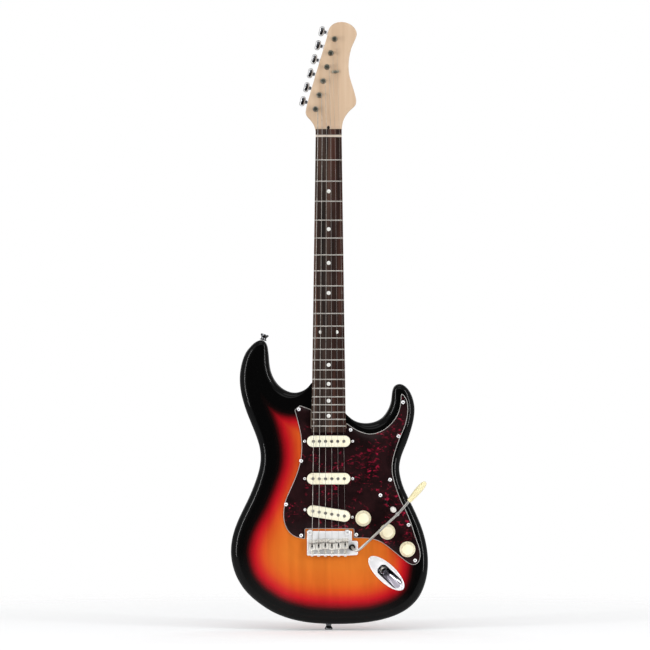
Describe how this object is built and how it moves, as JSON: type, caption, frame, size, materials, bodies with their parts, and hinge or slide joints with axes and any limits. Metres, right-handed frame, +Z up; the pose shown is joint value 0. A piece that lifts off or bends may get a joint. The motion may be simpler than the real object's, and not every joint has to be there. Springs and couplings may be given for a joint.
{
  "type": "electric guitar",
  "caption": "Double-cutaway solid-body electric guitar with a bolt-on neck, single-coil pickups, two-point tremolo bridge and in-line tuners.",
  "frame": {"origin": "centre of the outer face of the end strap button, on the centreline at half the body's thickness", "axes": "+Z up the neck to the headstock, +X to the treble side, -Y out of the face"},
  "size_m": [0.319, 0.0834, 0.983],
  "materials": {
    "sunburst_lacquer": "high gloss three-tone sunburst lacquer, amber centre through red to a black edge",
    "maple": "natural satin maple with fine straight grain",
    "rosewood": "oiled open-pored rosewood",
    "bone": "polished bone white",
    "tortoiseshell": "polished four-ply red tortoiseshell with a cream core",
    "cream_plastic": "semi-gloss aged cream",
    "chrome": "mirror chrome plate",
    "nickel_steel": "drawn and plated steel",
    "black_plastic": "polished black three-ply"
  },
  "bodies": {
    "root": {"body": "sunburst_lacquer", "neck": "maple", "fretboard": "rosewood", "nut": "bone", "pickguard": "tortoiseshell", "neck_plate": "chrome", "back_cover": "black_plastic", "jack_plate": "chrome", "jack_socket": "nickel_steel", "strap_button_end": "chrome", "strap_button_horn": "chrome", "pivot_stud_bass": "chrome", "pivot_stud_treble": "chrome", "pickup_neck": "cream_plastic", "pickup_middle": "cream_plastic", "pickup_bridge": "cream_plastic", "switch_body": "nickel_steel", "pot_volume": "nickel_steel", "pot_tone_neck": "nickel_steel", "pot_tone_middle": "nickel_steel", "tuner_housing_6": "chrome", "tuner_housing_5": "chrome", "tuner_housing_4": "chrome", "tuner_housing_3": "chrome", "tuner_housing_2": "chrome", "tuner_housing_1": "chrome", "string_6": "nickel_steel", "string_5": "nickel_steel", "string_4": "nickel_steel", "string_3": "nickel_steel", "string_2": "nickel_steel", "string_1": "nickel_steel", "tremolo_spring_1": "nickel_steel", "tremolo_spring_2": "nickel_steel", "tremolo_spring_3": "nickel_steel"},
    "bridge": {"bridge_plate": "chrome", "trem_block": "nickel_steel"},
    "arm": {"tremolo_arm": "chrome"},
    "saddle_6": {"saddle_6": "chrome"},
    "saddle_5": {"saddle_5": "chrome"},
    "saddle_4": {"saddle_4": "chrome"},
    "saddle_3": {"saddle_3": "chrome"},
    "saddle_2": {"saddle_2": "chrome"},
    "saddle_1": {"saddle_1": "chrome"},
    "post_6": {"tuner_post_6": "chrome"},
    "post_5": {"tuner_post_5": "chrome"},
    "post_4": {"tuner_post_4": "chrome"},
    "post_3": {"tuner_post_3": "chrome"},
    "post_2": {"tuner_post_2": "chrome"},
    "post_1": {"tuner_post_1": "chrome"},
    "button_6": {"tuner_button_6": "chrome"},
    "button_5": {"tuner_button_5": "chrome"},
    "button_4": {"tuner_button_4": "chrome"},
    "button_3": {"tuner_button_3": "chrome"},
    "button_2": {"tuner_button_2": "chrome"},
    "button_1": {"tuner_button_1": "chrome"},
    "knob_volume": {"knob_volume": "cream_plastic"},
    "knob_tone_neck": {"knob_tone_neck": "cream_plastic"},
    "knob_tone_middle": {"knob_tone_middle": "cream_plastic"},
    "lever": {"switch_lever": "cream_plastic"}
  },
  "joints": [
    {"name": "tremolo_pivot", "type": "hinge", "parent": "root", "child": "bridge", "pos_m": [0, -0.0248, 0.158], "axis": [-1, 0, 0], "range_deg": [0, 9], "stiffness_Nm_per_rad": 8, "springref_deg": -5.73, "deforming": ["string_6", "string_5", "string_4", "string_3", "string_2", "string_1", "tremolo_spring_1", "tremolo_spring_2", "tremolo_spring_3"]},
    {"name": "arm_swing", "type": "hinge", "parent": "bridge", "child": "arm", "pos_m": [0.0379, -0.028, 0.134], "axis": [0, -1, 0], "range_deg": [-110, 50]},
    {"name": "saddle_6_slide", "type": "slide", "parent": "bridge", "child": "saddle_6", "axis": [0, 0, 1], "range_m": [-0.003, 0.003]},
    {"name": "saddle_5_slide", "type": "slide", "parent": "bridge", "child": "saddle_5", "axis": [0, 0, 1], "range_m": [-0.003, 0.003]},
    {"name": "saddle_4_slide", "type": "slide", "parent": "bridge", "child": "saddle_4", "axis": [0, 0, 1], "range_m": [-0.003, 0.003]},
    {"name": "saddle_3_slide", "type": "slide", "parent": "bridge", "child": "saddle_3", "axis": [0, 0, 1], "range_m": [-0.003, 0.003]},
    {"name": "saddle_2_slide", "type": "slide", "parent": "bridge", "child": "saddle_2", "axis": [0, 0, 1], "range_m": [-0.003, 0.003]},
    {"name": "saddle_1_slide", "type": "slide", "parent": "bridge", "child": "saddle_1", "axis": [0, 0, 1], "range_m": [-0.003, 0.003]},
    {"name": "button_6_turn", "type": "hinge", "parent": "root", "child": "button_6", "pos_m": [-0.01933, -0.0012, 0.84944], "axis": [-0.9648, 0, 0.2629], "continuous": true},
    {"name": "button_5_turn", "type": "hinge", "parent": "root", "child": "button_5", "pos_m": [-0.01315, -0.0012, 0.87211], "axis": [-0.9648, 0, 0.2629], "continuous": true},
    {"name": "button_4_turn", "type": "hinge", "parent": "root", "child": "button_4", "pos_m": [-0.00697, -0.0012, 0.89478], "axis": [-0.9648, 0, 0.2629], "continuous": true},
    {"name": "button_3_turn", "type": "hinge", "parent": "root", "child": "button_3", "pos_m": [-0.0008, -0.0012, 0.91746], "axis": [-0.9648, 0, 0.2629], "continuous": true},
    {"name": "button_2_turn", "type": "hinge", "parent": "root", "child": "button_2", "pos_m": [0.00538, -0.0012, 0.94013], "axis": [-0.9648, 0, 0.2629], "continuous": true},
    {"name": "button_1_turn", "type": "hinge", "parent": "root", "child": "button_1", "pos_m": [0.01156, -0.0012, 0.9628], "axis": [-0.9648, 0, 0.2629], "continuous": true},
    {"name": "post_6_turn", "type": "hinge", "parent": "root", "child": "post_6", "pos_m": [-0.0213, -0.015, 0.8422], "axis": [0, -1, 0], "continuous": true},
    {"name": "post_5_turn", "type": "hinge", "parent": "root", "child": "post_5", "pos_m": [-0.01512, -0.015, 0.86487], "axis": [0, -1, 0], "continuous": true},
    {"name": "post_4_turn", "type": "hinge", "parent": "root", "child": "post_4", "pos_m": [-0.00894, -0.015, 0.88755], "axis": [0, -1, 0], "continuous": true},
    {"name": "post_3_turn", "type": "hinge", "parent": "root", "child": "post_3", "pos_m": [-0.00277, -0.015, 0.91022], "axis": [0, -1, 0], "continuous": true},
    {"name": "post_2_turn", "type": "hinge", "parent": "root", "child": "post_2", "pos_m": [0.00341, -0.015, 0.93289], "axis": [0, -1, 0], "continuous": true},
    {"name": "post_1_turn", "type": "hinge", "parent": "root", "child": "post_1", "pos_m": [0.00959, -0.015, 0.95557], "axis": [0, -1, 0], "continuous": true},
    {"name": "volume_turn", "type": "hinge", "parent": "root", "child": "knob_volume", "pos_m": [0.0558, -0.03, 0.1808], "axis": [0, -1, 0], "range_deg": [0, 290]},
    {"name": "tone_neck_turn", "type": "hinge", "parent": "root", "child": "knob_tone_neck", "pos_m": [0.0948, -0.03, 0.1592], "axis": [0, -1, 0], "range_deg": [0, 290]},
    {"name": "tone_middle_turn", "type": "hinge", "parent": "root", "child": "knob_tone_middle", "pos_m": [0.1273, -0.03, 0.1309], "axis": [0, -1, 0], "range_deg": [0, 290]},
    {"name": "pickup_selector", "type": "hinge", "parent": "root", "child": "lever", "pos_m": [0.0974, -0.01, 0.2029], "axis": [0.744, 0, 0.6682], "range_deg": [-52, 0]}
  ],
  "couplings": [
    {"joint": "post_6_turn", "follows": "button_6_turn", "ratio": 0.071429},
    {"joint": "post_5_turn", "follows": "button_5_turn", "ratio": 0.071429},
    {"joint": "post_4_turn", "follows": "button_4_turn", "ratio": 0.071429},
    {"joint": "post_3_turn", "follows": "button_3_turn", "ratio": 0.071429},
    {"joint": "post_2_turn", "follows": "button_2_turn", "ratio": 0.071429},
    {"joint": "post_1_turn", "follows": "button_1_turn", "ratio": 0.071429}
  ]
}
